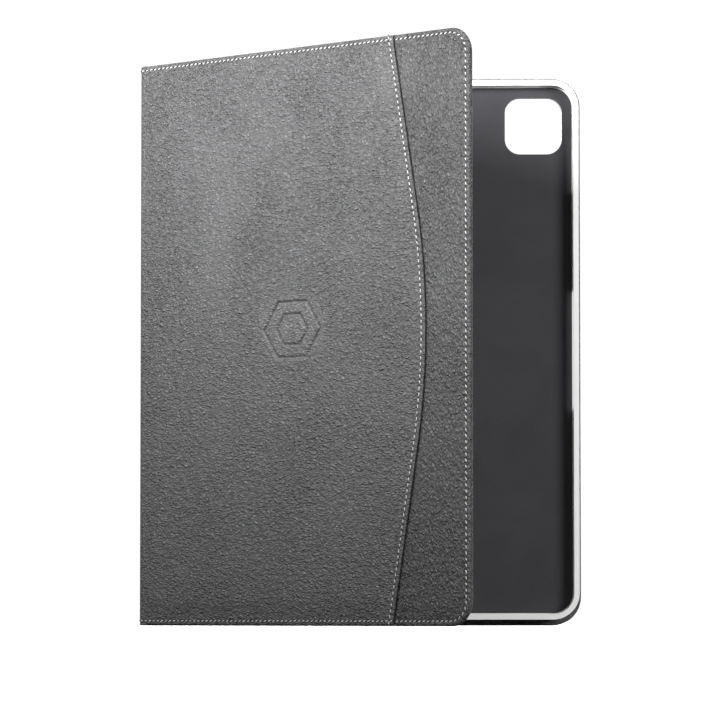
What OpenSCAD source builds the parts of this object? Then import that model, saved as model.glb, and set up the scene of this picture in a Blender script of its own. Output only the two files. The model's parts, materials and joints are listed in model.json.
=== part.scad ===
// Leather folio case for a large tablet. It stands upright on its lower edges, partly open like a book.
// Three panels turn on two upright folds: the front cover, the narrow spine, and the back with the tray.
// The outline of each panel is drawn in x and z, and its layers are stacked along y.

/* [Tablet] */
// Width of the tablet that the tray holds
tablet_w = 214.9; // [180:0.1:260]
// Height of the tablet
tablet_h = 280.6; // [230:0.1:340]
// Thickness of the tablet
tablet_t = 5.9; // [4.5:0.1:9]
// Radius of the tablet's corners
tablet_r = 12.4; // [10:0.1:20]

/* [Bumper frame] */
// Gap left between the tablet and the frame
tablet_gap = 0.2; // [0.1:0.05:0.5]
// Wall of the frame
frame_wall = 1.4; // [1:0.1:3]
// How far the lip reaches over the tablet's face
lip_reach = 1.2; // [0.6:0.1:2]
// Thickness of the lip
lip_t = 0.9; // [0.6:0.1:2]
// Width of the flange that carries the shell plate
flange_w = 2; // [1:0.1:4]

/* [Tray] */
// Thickness of the stiff shell plate
plate_t = 1.2; // [0.8:0.1:3]
// Thickness of the soft liner that the tablet lies on
liner_t = 0.4; // [0.2:0.1:1.5]
// Margin between the liner and the frame
liner_margin = 2; // [1.5:0.1:6]
// Thickness of the adhesive pads behind the plate
pad_t = 0.5; // [0.3:0.1:1.5]
// Width of one adhesive pad
pad_w = 70; // [30:1:80]
// Height of one adhesive pad
pad_h = 80; // [40:1:90]

/* [Camera opening] */
// Side of the square camera opening
camera_w = 30; // [20:1:40]
// Radius of the opening's corners
camera_r = 8; // [4:0.5:9]
// Distance from the tablet's top and free edges to the middle of the opening
camera_in = 22; // [18:1:40]
// Wall of the ring around the opening
ring_wall = 1.2; // [0.8:0.1:3]
// How far the ring lies below the leather's face
ring_sink = 0.1; // [0:0.05:0.3]

/* [Ports and buttons] */
// Length of the opening for the charging plug
port_w = 16; // [12:1:24]
// Height of the opening for the charging plug
port_h = 4.8; // [3:0.1:5]
// Length of one speaker slot
speaker_w = 30; // [12:1:40]
// Height of a speaker slot
speaker_h = 2.2; // [1.2:0.1:4]
// Distance from the tablet's side edge to the middle of a speaker slot
speaker_in = 48; // [32:1:60]
// Length of the slot over the power button
power_w = 14; // [8:1:18]
// Distance from the tablet's free edge to the middle of the power slot
power_in = 24; // [22:1:28]
// Length of the slot over the volume buttons
volume_w = 30; // [16:1:36]
// Distance from the tablet's top edge to the middle of the volume slot
volume_in = 42; // [36:1:60]
// Height of the button slots
button_h = 3; // [2:0.1:4]
// Length of the window over the stylus charger
stylus_w = 64; // [30:1:80]
// Height of the window over the stylus charger
stylus_h = 4.2; // [2:0.1:4.4]

/* [Leather and boards] */
// Thickness of the outer leather
leather_t = 1.2; // [0.8:0.1:1.6]
// Thickness of the foam padding and of the edge strip's leather
foam_t = 1.2; // [0.8:0.1:3]
// Thickness of the board in the cover and in the back
board_t = 1.6; // [1:0.1:3]
// Thickness of the board in the spine
spine_board_t = 1.2; // [0.8:0.1:2]
// Thickness of the soft lining
lining_t = 0.6; // [0.4:0.1:1.2]
// Width of the leather turned in around the cover's board
turn_in = 3.4; // [2:0.1:6]
// Width of the leather turned in around the back's board
back_turn_in = 1.2; // [0.8:0.1:2]
// Distance from a panel's edge to its lining
lining_in = 0.8; // [0.4:0.1:1.6]
// Gap around a board or a magnet in its recess
fit_gap = 0.1; // [0.05:0.05:0.3]

/* [Layout] */
// Free leather between the back fold and the bumper frame
gutter = 11.5; // [8:0.1:20]
// Cover below the bumper frame
cover_below = 3.1; // [1:0.1:8]
// Cover above the bumper frame
cover_above = 6.8; // [2:0.1:12]
// Cover beyond the bumper frame at the free edge
cover_beyond = 2.9; // [1:0.1:8]
// Back panel above the bumper frame
back_above = 1.8; // [0.4:0.1:2]
// Back panel beyond the bumper frame at the free edge
back_beyond = 1; // [0.4:0.1:4]
// Length over which the back's top edge comes down from the spine's height
back_slope_w = 60; // [20:1:120]
// Radius of the cover's free corners
corner_r = 12.5; // [8:0.5:25]
// Gap between the closed cover and the bumper frame
close_gap = 0.8; // [0.7:0.1:3]
// How far the cover stands open from its closed place, in degrees
rest_open = 43; // [0:1:90]

/* [Folds] */
// Gap between a fold's rolled leather and the panels beside it
fold_gap = 0.3; // [0.2:0.05:0.6]
// Room between the boards of two panels when they are folded together
fold_room = 0.6; // [0.4:0.1:2]

/* [Curved seam] */
// Distance from the cover's free edge to the crown of the main leather's cut edge
seam_in = 28.5; // [20:0.5:60]
// Radius of the seam's round middle
seam_r = 320; // [200:5:500]
// Lean of the seam's straight ends from upright, in degrees
seam_lean = 10.8; // [4:0.1:16]
// Width of the edge strip that runs on under the main leather
seam_lap = 8; // [5:0.5:15]

/* [Stitching] */
// Distance from a panel's edge to its stitching
stitch_in = 2.4; // [1.8:0.1:4]
// Distance from the seam's cut edge to its stitching
seam_stitch_in = 2.6; // [1.8:0.1:4]
// Width of the thread
thread_w = 0.8; // [0.4:0.1:1]
// Height of the thread above the leather, or its depth in the back's groove
thread_h = 0.25; // [0.1:0.05:0.5]
// Distance from a fold to the first stitch
stitch_start = 1.5; // [1.3:0.1:3]

/* [Pocket] */
// Height of the document pocket
pocket_h = 190; // [100:1:200]
// Distance from the cover's lower edge to the pocket
pocket_up = 26; // [24:1:60]
// Distance from the front fold to the pocket
pocket_from_fold = 34; // [30:1:60]
// Distance from the cover's free edge to the pocket
pocket_from_edge = 22.5; // [20:0.5:60]
// Thickness of the pocket's panel
pocket_t = 0.4; // [0.2:0.1:0.5]
// Thickness of the border that holds the pocket's panel off the lining
welt_t = 0.2; // [0.1:0.1:0.2]
// Width of the pocket's border
welt_w = 5; // [3:0.5:10]
// Radius of the thumb notch in the pocket's mouth
notch_r = 14; // [8:1:20]

/* [Magnets] */
// Length of one closing magnet
magnet_l = 36; // [20:1:50]
// Width of one closing magnet
magnet_w = 8; // [4:0.5:9]
// Number of closing magnets
magnet_count = 4; // [2:1:5]
// Distance from the cover's free edge to the middle of the magnets
magnet_in = 13; // [10:0.5:14]
// Side of the square magnet that puts the tablet to sleep
wake_w = 10; // [6:0.5:12]
// Distance from the cover's lower edge to the middle of the wake magnet
wake_up = 36; // [30:1:40]

/* [Hidden] */
$fn = 96;
leather_color = [0.16, 0.16, 0.165];
strip_color = [0.13, 0.13, 0.135];
thread_color = [0.78, 0.78, 0.76];
lining_color = [0.33, 0.33, 0.35];
board_color = [0.55, 0.45, 0.35];
plastic_color = [0.93, 0.93, 0.92];
metal_color = [0.7, 0.7, 0.72];
past = 1; // how far a cutting shape runs past the surface it cuts

// Layers of the cover from its fold's axis inwards, along +y of the closed cover
half_leather = leather_t / 2;
cover_foam_top = half_leather + foam_t;
cover_board_top = cover_foam_top + board_t;
cover_inner = cover_board_top + lining_t;

// Layers of the back from its fold's axis inwards, along -y
back_board_in = half_leather + board_t;
plate_back = back_board_in + pad_t;
plate_front = plate_back + plate_t;
liner_front = plate_front + liner_t;
tablet_mid = liner_front + tablet_t / 2;
lip_back = liner_front + tablet_t + tablet_gap;
frame_front = lip_back + lip_t;

// Layers of the spine from its folds' plane inwards, along +x
spine_board_in = half_leather + spine_board_t;
spine_inner = spine_board_in + lining_t;
spine_w = frame_front + close_gap + cover_inner;
fold_start = half_leather + fold_gap;
board_start = spine_inner + fold_room;

// Outlines
bay_w = tablet_w + 2 * tablet_gap;
bay_h = tablet_h + 2 * tablet_gap;
bay_r = tablet_r + tablet_gap;
frame_w = bay_w + 2 * frame_wall;
frame_h = bay_h + 2 * frame_wall;
bay_left = gutter + frame_wall;
bay_right = bay_left + bay_w;
bay_bottom = cover_below + frame_wall;
bay_top = bay_bottom + bay_h;
bay_mid_x = (bay_left + bay_right) / 2;
bay_mid_z = (bay_bottom + bay_top) / 2;
cover_w = gutter + frame_w + cover_beyond;
cover_h = cover_below + frame_h + cover_above;
back_w = gutter + frame_w + back_beyond;
back_h = cover_below + frame_h + back_above;
back_r = bay_r + frame_wall + back_beyond;
pocket_w = cover_w - pocket_from_fold - pocket_from_edge;
camera_x = bay_right - tablet_gap - camera_in;
camera_z = bay_top - tablet_gap - camera_in;
ring_w = camera_w + 2 * ring_wall;
ring_r = camera_r + ring_wall;

// Centre of the standing case on the floor, measured from the back fold's axis
left_x = -half_leather - thread_h;
right_x = max(back_w, cover_w * cos(rest_open) + cover_inner * sin(rest_open));
rear_y = half_leather;
front_y = -spine_w - cover_w * sin(rest_open) + half_leather * cos(rest_open);
mid_x = (left_x + right_x) / 2;
mid_y = (rear_y + front_y) / 2;

module in_back() {
    translate([-mid_x, -mid_y, 0]) children();
}

module in_cover() {
    in_back() translate([0, -spine_w, 0]) rotate([0, 0, -rest_open]) children();
}

// Gives an outline drawn in x and z its depth from y0 to y1
module slab(y0, y1) {
    translate([0, y1, 0]) rotate([90, 0, 0]) linear_extrude(y1 - y0) children();
}

module rounded_rect(x0, x1, z0, z1, r) {
    translate([x0 + r, z0]) square([x1 - x0 - 2 * r, z1 - z0]);
    translate([x0, z0 + r]) square([x1 - x0, z1 - z0 - 2 * r]);
    for (x = [x0 + r, x1 - r], z = [z0 + r, z1 - r]) translate([x, z]) circle(r);
}

// Slot with round ends, centred, with its length along x
module slot(w, h) {
    square([w - h, h], center = true);
    for (side = [-1, 1]) translate([side * (w - h) / 2, 0]) circle(h / 2);
}

// The cover's outline from x0 to its free edge, with an even margin
module cover_outline(x0, margin) {
    r = corner_r - margin;
    x1 = cover_w - margin;
    translate([x0, margin]) square([x1 - r - x0, cover_h - 2 * margin]);
    translate([x1 - r, margin + r]) square([r, cover_h - 2 * (margin + r)]);
    for (z = [margin + r, cover_h - margin - r]) translate([x1 - r, z]) circle(r);
}

// All of the cover on the fold's side of the curved seam, moved towards the fold by shift
module fold_side_of_seam(shift) {
    r = seam_r - shift;
    x_mid = cover_w - seam_in - shift - r;
    x_turn = x_mid + r * cos(seam_lean);
    z_turn = r * sin(seam_lean);
    z_end = cover_h / 2 + past;
    x_end = x_turn - (z_end - z_turn) * tan(seam_lean);
    translate([0, cover_h / 2]) {
        polygon([
            [-past, -z_end], [x_end, -z_end], [x_turn, -z_turn],
            [x_turn, z_turn], [x_end, z_end], [-past, z_end]
        ]);
        intersection() {
            translate([x_mid, 0]) circle(r, $fn = 256);
            translate([x_turn, -z_turn]) square([r, 2 * z_turn]);
        }
    }
}

// The back's outline from x0 to its free edge, with an even margin; its top comes down from the spine
module back_outline(x0, margin) {
    r = back_r - margin;
    x1 = back_w - margin;
    z1 = back_h - margin;
    z0 = cover_h - margin - (cover_h - back_h) * x0 / back_slope_w;
    polygon([[x0, margin], [x1 - r, margin], [x1 - r, z1], [back_slope_w, z1], [x0, z0]]);
    translate([x1 - r, margin + r]) square([r, z1 - margin - 2 * r]);
    for (z = [margin + r, z1 - r]) translate([x1 - r, z]) circle(r);
}

module camera_outline(w, r) {
    rounded_rect(camera_x - w / 2, camera_x + w / 2, camera_z - w / 2, camera_z + w / 2, r);
}

module bay_outline(margin) {
    rounded_rect(
        bay_left + margin, bay_right - margin, bay_bottom + margin, bay_top - margin, bay_r - margin
    );
}

module edge_band() {
    difference() {
        cover_outline(stitch_start, stitch_in - thread_w / 2);
        cover_outline(0, stitch_in + thread_w / 2);
    }
}

module magnet_row(gap) {
    spacing = (cover_h - 2 * corner_r) / magnet_count;
    for (i = [0 : magnet_count - 1]) {
        translate([cover_w - magnet_in, corner_r + spacing * (i + 0.5)])
            square([magnet_w + 2 * gap, magnet_l + 2 * gap], center = true);
    }
}

module wake_place(gap) {
    translate([cover_w - magnet_in - magnet_w - wake_w, wake_up])
        square(wake_w + 2 * gap, center = true);
}

// ---- Front cover ----

module cover_leather() {
    color(leather_color) in_cover() {
        slab(-half_leather, half_leather) intersection() {
            cover_outline(fold_start, 0);
            fold_side_of_seam(0);
        }
        slab(half_leather, cover_board_top) intersection() {
            difference() {
                cover_outline(board_start, 0);
                cover_outline(0, turn_in);
            }
            fold_side_of_seam(seam_lap);
        }
    }
}

module cover_edge_strip() {
    color(strip_color) in_cover() {
        slab(half_leather, cover_foam_top) difference() {
            cover_outline(board_start, 0);
            fold_side_of_seam(seam_lap - fit_gap);
        }
        slab(cover_foam_top, cover_board_top) difference() {
            cover_outline(board_start, 0);
            cover_outline(0, turn_in);
            fold_side_of_seam(seam_lap - fit_gap);
        }
    }
}

module cover_foam() {
    color("dimgray") in_cover() slab(half_leather, cover_foam_top) intersection() {
        cover_outline(board_start, turn_in + fit_gap);
        fold_side_of_seam(seam_lap + fit_gap);
    }
}

module cover_board() {
    color(board_color) in_cover() slab(cover_foam_top, cover_board_top) difference() {
        cover_outline(board_start, turn_in + fit_gap);
        magnet_row(fit_gap);
        wake_place(fit_gap);
    }
}

module cover_lining() {
    color(lining_color) in_cover() slab(cover_board_top, cover_inner)
        cover_outline(board_start, lining_in);
}

module closing_magnets() {
    color(metal_color) in_cover() slab(cover_foam_top + fit_gap, cover_board_top - fit_gap)
        magnet_row(0);
}

module wake_magnet() {
    color(metal_color) in_cover() slab(cover_foam_top + fit_gap, cover_board_top - fit_gap)
        wake_place(0);
}

module pocket_panel(margin) {
    translate([pocket_from_fold + margin, pocket_up + margin])
        square([pocket_w - 2 * margin, pocket_h - 2 * margin]);
}

// The mouth is the pocket's upper edge, so the border and the stitching leave it open
module pocket_border(outer, inner) {
    difference() {
        pocket_panel(outer);
        pocket_panel(inner);
        translate([pocket_from_fold + inner, pocket_up + pocket_h / 2])
            square([pocket_w - 2 * inner, pocket_h]);
    }
}

module document_pocket() {
    color(leather_color) in_cover() {
        slab(cover_inner, cover_inner + welt_t) pocket_border(0, welt_w);
        slab(cover_inner + welt_t, cover_inner + welt_t + pocket_t) difference() {
            pocket_panel(0);
            translate([pocket_from_fold + pocket_w / 2, pocket_up + pocket_h]) circle(notch_r);
        }
    }
}

module cover_edge_stitching() {
    color(thread_color) in_cover() {
        slab(-half_leather - thread_h, -half_leather) intersection() {
            edge_band();
            fold_side_of_seam(0);
        }
        slab(half_leather - thread_h, half_leather) difference() {
            edge_band();
            fold_side_of_seam(-fit_gap);
        }
        slab(cover_inner, cover_inner + thread_h) difference() {
            cover_outline(board_start, stitch_in - thread_w / 2);
            cover_outline(0, stitch_in + thread_w / 2);
        }
    }
}

module cover_seam_stitching() {
    color(thread_color) in_cover() slab(-half_leather - thread_h, -half_leather) difference() {
        intersection() {
            cover_outline(stitch_start, stitch_in + thread_w);
            fold_side_of_seam(seam_stitch_in - thread_w / 2);
        }
        fold_side_of_seam(seam_stitch_in + thread_w / 2);
    }
}

module pocket_stitching() {
    color(thread_color) in_cover()
        slab(cover_inner + welt_t + pocket_t, cover_inner + welt_t + pocket_t + thread_h / 2)
            pocket_border(welt_w / 2 - thread_w / 2, welt_w / 2 + thread_w / 2);
}

// ---- Spine ----

// A block of the spine from x0 to x1 that keeps clear of both folds and of the panel's ends
module spine_block(x0, x1, clear_y, clear_z) {
    translate([x0, clear_y - spine_w, clear_z])
        cube([x1 - x0, spine_w - 2 * clear_y, cover_h - 2 * clear_z]);
}

module fold_bead() {
    translate([0, 0, fold_gap]) cylinder(r = half_leather, h = cover_h - 2 * fold_gap);
}

module spine_leather() {
    color(leather_color) in_back() {
        spine_block(-half_leather, half_leather, fold_start, 0);
        for (z = [0, cover_h - back_turn_in]) {
            translate([half_leather, board_start - spine_w, z])
                cube([spine_board_t, spine_w - 2 * board_start, back_turn_in]);
        }
    }
}

module spine_board() {
    color(board_color) in_back()
        spine_block(half_leather, spine_board_in, board_start, back_turn_in + fit_gap);
}

module spine_lining() {
    color(lining_color) in_back()
        spine_block(spine_board_in, spine_inner, board_start, lining_in);
}

module spine_stitching() {
    color(thread_color) in_back() {
        for (z = [stitch_in, cover_h - stitch_in]) {
            translate([-half_leather - thread_h, stitch_start - spine_w, z - thread_w / 2])
                cube([thread_h, spine_w - 2 * stitch_start, thread_w]);
        }
    }
}

module front_fold() {
    color(leather_color) in_back() translate([0, -spine_w, 0]) fold_bead();
}

module rear_fold() {
    color(leather_color) in_back() fold_bead();
}

// ---- Back and tray ----

// The band of the back's stitching; it lies in a groove, so that the back's face is flat
module back_stitch_band(y1) {
    slab(half_leather - thread_h, y1) difference() {
        back_outline(stitch_start, stitch_in - thread_w / 2);
        back_outline(0, stitch_in + thread_w / 2);
    }
}

module back_leather() {
    color(leather_color) in_back() {
        difference() {
            slab(-half_leather, half_leather) difference() {
                back_outline(fold_start, 0);
                camera_outline(ring_w + 2 * fit_gap, ring_r + fit_gap);
            }
            back_stitch_band(half_leather + past);
        }
        slab(-back_board_in, -half_leather) difference() {
            back_outline(board_start, 0);
            back_outline(0, back_turn_in);
        }
    }
}

module back_board() {
    color(board_color) in_back() slab(-back_board_in, -half_leather) difference() {
        back_outline(board_start, back_turn_in + fit_gap);
        camera_outline(ring_w + 2 * fit_gap, ring_r + fit_gap);
    }
}

module gutter_lining() {
    color(lining_color) in_back() slab(-back_board_in - lining_t, -back_board_in)
        intersection() {
            back_outline(board_start, lining_in);
            square([gutter - fold_gap, cover_h]);
        }
}

module back_stitching() {
    color(thread_color) in_back() back_stitch_band(half_leather);
}

module bond_pads() {
    color("gray") in_back() slab(-plate_back, -back_board_in) difference() {
        for (side_x = [-1, 1], side_z = [-1, 1]) {
            translate([bay_mid_x + side_x * bay_w / 4, bay_mid_z + side_z * bay_h / 4])
                square([pad_w, pad_h], center = true);
        }
        camera_outline(ring_w + 2 * ring_wall, ring_r);
    }
}

module shell_plate() {
    color(plastic_color) in_back() slab(-plate_front, -plate_back) difference() {
        bay_outline(fit_gap);
        camera_outline(camera_w, camera_r);
    }
}

module shell_liner() {
    color(lining_color) in_back() slab(-liner_front, -plate_front) difference() {
        bay_outline(liner_margin);
        camera_outline(camera_w, camera_r);
    }
}

module camera_ring() {
    color("black") in_back() slab(-plate_back, half_leather - ring_sink) difference() {
        camera_outline(ring_w, ring_r);
        camera_outline(camera_w, camera_r);
    }
}

// Cuts a slot through the frame's wall that faces down or up, or through its free side
module end_slot(x, z, w, h) {
    translate([x, -tablet_mid, z - frame_wall / 2 - past]) linear_extrude(frame_wall + 2 * past)
        slot(w, h);
}

module side_slot(z, w, h) {
    translate([bay_right - past, -tablet_mid, z])
        rotate([0, 90, 0]) linear_extrude(frame_wall + 2 * past) slot(w, h);
}

module bumper_frame() {
    bottom_z = bay_bottom - frame_wall / 2;
    top_z = bay_top + frame_wall / 2;
    color(plastic_color) in_back() difference() {
        slab(-frame_front, -back_board_in) bay_outline(-frame_wall);
        slab(-lip_back, -plate_back) bay_outline(0);
        slab(-frame_front - past, -lip_back + past) bay_outline(tablet_gap + lip_reach);
        slab(-plate_back - past, -back_board_in + past) bay_outline(flange_w);
        end_slot(bay_mid_x, bottom_z, port_w, port_h);
        for (side = [-1, 1], z = [bottom_z, top_z]) {
            end_slot(bay_mid_x + side * (tablet_w / 2 - speaker_in), z, speaker_w, speaker_h);
        }
        end_slot(bay_right - tablet_gap - power_in, top_z, power_w, button_h);
        side_slot(bay_top - tablet_gap - volume_in, volume_w, button_h);
        side_slot(bay_mid_z, stylus_w, stylus_h);
    }
}

cover_leather();
cover_edge_strip();
cover_foam();
cover_board();
cover_lining();
closing_magnets();
wake_magnet();
document_pocket();
cover_edge_stitching();
cover_seam_stitching();
pocket_stitching();
front_fold();
spine_leather();
spine_board();
spine_lining();
spine_stitching();
rear_fold();
back_leather();
back_board();
gutter_lining();
back_stitching();
bond_pads();
shell_plate();
bumper_frame();
shell_liner();
camera_ring();
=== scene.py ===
# Leather tablet folio: skins, stitching, tray and studio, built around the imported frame.
# Panels are worked out in their own flat coordinates (u from the fold, z up) and then set in place.
import json
import math
import bmesh
import bpy
from mathutils import Matrix, Vector, noise
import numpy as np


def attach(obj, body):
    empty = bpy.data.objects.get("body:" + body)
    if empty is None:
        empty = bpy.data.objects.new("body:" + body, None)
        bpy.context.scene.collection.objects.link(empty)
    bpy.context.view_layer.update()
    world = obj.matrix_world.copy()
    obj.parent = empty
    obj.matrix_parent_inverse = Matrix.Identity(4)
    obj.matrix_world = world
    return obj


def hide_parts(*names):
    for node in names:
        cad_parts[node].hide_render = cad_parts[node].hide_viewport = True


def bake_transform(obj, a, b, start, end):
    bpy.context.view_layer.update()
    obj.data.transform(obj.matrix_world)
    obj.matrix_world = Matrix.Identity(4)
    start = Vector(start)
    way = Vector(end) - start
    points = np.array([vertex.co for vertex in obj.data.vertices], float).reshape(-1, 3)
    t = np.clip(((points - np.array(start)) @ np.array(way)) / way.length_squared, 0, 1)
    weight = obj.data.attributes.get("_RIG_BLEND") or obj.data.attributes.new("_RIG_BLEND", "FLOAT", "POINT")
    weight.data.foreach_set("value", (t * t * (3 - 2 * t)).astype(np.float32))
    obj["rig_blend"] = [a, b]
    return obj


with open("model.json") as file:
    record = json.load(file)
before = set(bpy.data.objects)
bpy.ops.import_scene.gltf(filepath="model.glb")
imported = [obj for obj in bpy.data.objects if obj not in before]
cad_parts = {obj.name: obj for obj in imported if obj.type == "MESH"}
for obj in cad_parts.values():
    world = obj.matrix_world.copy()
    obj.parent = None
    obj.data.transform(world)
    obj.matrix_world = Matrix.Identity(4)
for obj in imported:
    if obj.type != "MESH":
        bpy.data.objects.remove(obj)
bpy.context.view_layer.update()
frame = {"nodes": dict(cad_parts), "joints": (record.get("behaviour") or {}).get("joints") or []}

mm = 0.001
nodes = frame["nodes"]
joints = {joint["name"]: joint for joint in frame["joints"]}
rearFold = Vector(joints["spine_fold"]["pos_m"])
frontFold = Vector(joints["cover_fold"]["pos_m"])
restOpen = math.radians(-joints["cover_fold"]["range_deg"][0])
trayPlace = Matrix.Translation(rearFold)
coverPlace = Matrix.Translation(frontFold) @ Matrix.Rotation(-restOpen, 4, "Z")


def localBox(node, place):
    inverse = place.inverted()
    points = [inverse @ vertex.co for vertex in nodes[node].data.vertices]
    low = Vector([min(p[i] for p in points) for i in range(3)])
    high = Vector([max(p[i] for p in points) for i in range(3)])
    return low, high


def ease(x):
    x = min(max(x, 0.0), 1.0)
    return x * x * (3 - 2 * x)


def mix(a, b, t):
    return a + (b - a) * t


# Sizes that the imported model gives
leatherLow, leatherHigh = localBox("cover_leather", coverPlace)
stripLow, stripHigh = localBox("cover_edge_strip", coverPlace)
liningLow, liningHigh = localBox("cover_lining", coverPlace)
backLow, backHigh = localBox("back_leather", trayPlace)
spineLow, spineHigh = localBox("spine_leather", trayPlace)
spineLiningLow, spineLiningHigh = localBox("spine_lining", trayPlace)
gutterLow, gutterHigh = localBox("gutter_lining", trayPlace)
pocketLow, pocketHigh = localBox("document_pocket", coverPlace)
coverW = stripHigh.x
coverH = stripHigh.z
spineW = rearFold.y - frontFold.y
halfLeather = -leatherLow.y
print("frame read: cover", round(coverW, 4), "by", round(coverH, 4))


def addObject(name, data):
    piece = bpy.data.objects.new(name, data)
    bpy.context.scene.collection.objects.link(piece)
    return piece


view = {
    "distance": 2.183,  # from the case's middle
    "aside": 0.0348,  # to the right of the case's middle
    "height": 0.0058,  # above the floor
    "pitchDegrees": 3.38,
    "turnDegrees": -0.89,  # a positive turn is to the right
    "lens": 215.4,
}


def addCamera():
    data = bpy.data.cameras.new("camera")
    data.lens = view["lens"]
    data.sensor_width = 36
    data.clip_end = 50
    camera = addObject("camera", data)
    camera.location = (view["aside"], -view["distance"], view["height"])
    pitch = math.radians(90 + view["pitchDegrees"])
    camera.rotation_euler = (pitch, 0, -math.radians(view["turnDegrees"]))
    bpy.context.scene.camera = camera


addCamera()


def newMaterial(name):
    material = bpy.data.materials.new(name)
    material.use_nodes = True
    tree = material.node_tree
    shader = tree.nodes["Principled BSDF"]
    return material, tree, shader


def addNode(tree, kind, inputs=None, **settings):
    node = tree.nodes.new(kind)
    for key, value in settings.items():
        setattr(node, key, value)
    for key, value in (inputs or {}).items():
        node.inputs[key].default_value = value
    return node


def objectCoordinates(tree, scale=(1, 1, 1), turn=(0, 0, 0)):
    coordinates = addNode(tree, "ShaderNodeTexCoord")
    mapping = addNode(tree, "ShaderNodeMapping", {"Scale": scale, "Rotation": turn})
    tree.links.new(coordinates.outputs["Object"], mapping.inputs["Vector"])
    return mapping.outputs["Vector"]


def ramp(tree, source, low, high, lowColor, highColor):
    node = addNode(tree, "ShaderNodeValToRGB")
    node.color_ramp.elements[0].position = low
    node.color_ramp.elements[1].position = high
    node.color_ramp.elements[0].color = (*lowColor, 1)
    node.color_ramp.elements[1].color = (*highColor, 1)
    tree.links.new(source, node.inputs["Fac"])
    return node.outputs["Color"]


def multiplied(tree, a, b):
    node = addNode(tree, "ShaderNodeMix", {"Factor": 1.0}, data_type="RGBA", blend_type="MULTIPLY")
    tree.links.new(a, node.inputs["A"])
    tree.links.new(b, node.inputs["B"])
    return node.outputs["Result"]


def bumpOn(tree, height, strength, distance, under=None):
    node = addNode(tree, "ShaderNodeBump", {"Distance": distance})
    if isinstance(strength, float):
        node.inputs["Strength"].default_value = strength
    else:
        tree.links.new(strength, node.inputs["Strength"])
    tree.links.new(height, node.inputs["Height"])
    if under is not None:
        tree.links.new(under, node.inputs["Normal"])
    return node.outputs["Normal"]


hide = {
    "pebbleSize": 1.75 * mm,
    "pebbleDepth": 0.7 * mm,
    "wander": 0.9,  # how unlike a grid the pebbles lie, in pebbles
    "poreSize": 0.45 * mm,
    "poreDepth": 0.05 * mm,
    "patchSize": 45 * mm,  # slow changes of tone over the skin
    "paintedCreaseShade": 0.5,  # how much darker the creases are painted: painted shade in the creases between pebbles
    "stampTone": 0.4,  # how much darker the hot stamp's lines are
}


def leatherMaterial(name, color, stretch, turn, roughness, depth=1.0):
    # stretch makes the pebbles longer along one way of the panel
    material, tree, shader = newMaterial(name)
    place = objectCoordinates(tree, stretch, turn)
    warp = addNode(tree, "ShaderNodeTexNoise", {"Scale": 0.6 / hide["pebbleSize"], "Detail": 2.0})
    tree.links.new(place, warp.inputs["Vector"])
    bend = addNode(tree, "ShaderNodeVectorMath", operation="MULTIPLY_ADD")
    bend.inputs[1].default_value = [2 * hide["wander"] * hide["pebbleSize"]] * 3
    tree.links.new(warp.outputs["Color"], bend.inputs[0])
    tree.links.new(place, bend.inputs[2])
    pebbles = addNode(tree, "ShaderNodeTexVoronoi", {"Scale": 1 / hide["pebbleSize"]},
                      feature="DISTANCE_TO_EDGE")
    tree.links.new(bend.outputs["Vector"], pebbles.inputs["Vector"])
    domes = addNode(tree, "ShaderNodeMapRange", {"From Max": 0.45}, interpolation_type="SMOOTHSTEP")
    tree.links.new(pebbles.outputs["Distance"], domes.inputs["Value"])
    folds = addNode(tree, "ShaderNodeTexNoise", {"Scale": 0.8 / hide["pebbleSize"], "Detail": 4.0})
    tree.links.new(place, folds.inputs["Vector"])
    pores = addNode(tree, "ShaderNodeTexNoise", {"Scale": 1 / hide["poreSize"], "Detail": 1.0})
    tree.links.new(place, pores.inputs["Vector"])
    patches = addNode(tree, "ShaderNodeTexNoise", {"Scale": 1 / hide["patchSize"], "Detail": 3.0})
    tree.links.new(objectCoordinates(tree), patches.inputs["Vector"])
    strength = addNode(tree, "ShaderNodeMapRange", {"From Min": 0.3, "From Max": 0.7,
                                                    "To Min": 0.5 * depth, "To Max": 1.2 * depth})
    tree.links.new(patches.outputs["Fac"], strength.inputs["Value"])
    stamped = addNode(tree, "ShaderNodeAttribute", attribute_name="pressed")
    kept = addNode(tree, "ShaderNodeMapRange", {"To Min": 1.0, "To Max": 0.25})
    tree.links.new(stamped.outputs["Fac"], kept.inputs["Value"])
    grain = addNode(tree, "ShaderNodeMath", operation="MULTIPLY")
    tree.links.new(strength.outputs["Result"], grain.inputs[0])
    tree.links.new(kept.outputs["Result"], grain.inputs[1])
    normal = bumpOn(tree, folds.outputs["Fac"], grain.outputs[0], 3.2 * hide["pebbleDepth"])
    normal = bumpOn(tree, domes.outputs["Result"], grain.outputs[0], hide["pebbleDepth"], normal)
    normal = bumpOn(tree, pores.outputs["Fac"], 0.6, hide["poreDepth"], normal)
    tree.links.new(normal, shader.inputs["Normal"])
    dark = [0.88 * c for c in color]
    light = [1.12 * c for c in color]
    tone = ramp(tree, patches.outputs["Fac"], 0.3, 0.7, dark, light)
    # painted shade: the colour darkens in the creases between the pebbles, where shade falls
    creaseShading = ramp(tree, domes.outputs["Result"], 0.0, 0.9, [hide["paintedCreaseShade"]] * 3, (1, 1, 1))
    # painted shade: the colour darkens in the low parts of the larger folds
    foldShading = ramp(tree, folds.outputs["Fac"], 0.35, 0.65, (0.66, 0.66, 0.66), (1, 1, 1))
    line = ramp(tree, stamped.outputs["Fac"], 0.56, 0.85, (1, 1, 1), [hide["stampTone"]] * 3)
    skin = multiplied(tree, multiplied(tree, multiplied(tree, tone, creaseShading), foldShading), line)
    tree.links.new(skin, shader.inputs["Base Color"])
    gloss = addNode(tree, "ShaderNodeMapRange", {"To Min": roughness + 0.15, "To Max": roughness - 0.04})
    tree.links.new(domes.outputs["Result"], gloss.inputs["Value"])
    tree.links.new(gloss.outputs["Result"], shader.inputs["Roughness"])
    shader.inputs["Specular IOR Level"].default_value = 0.5
    return material


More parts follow.
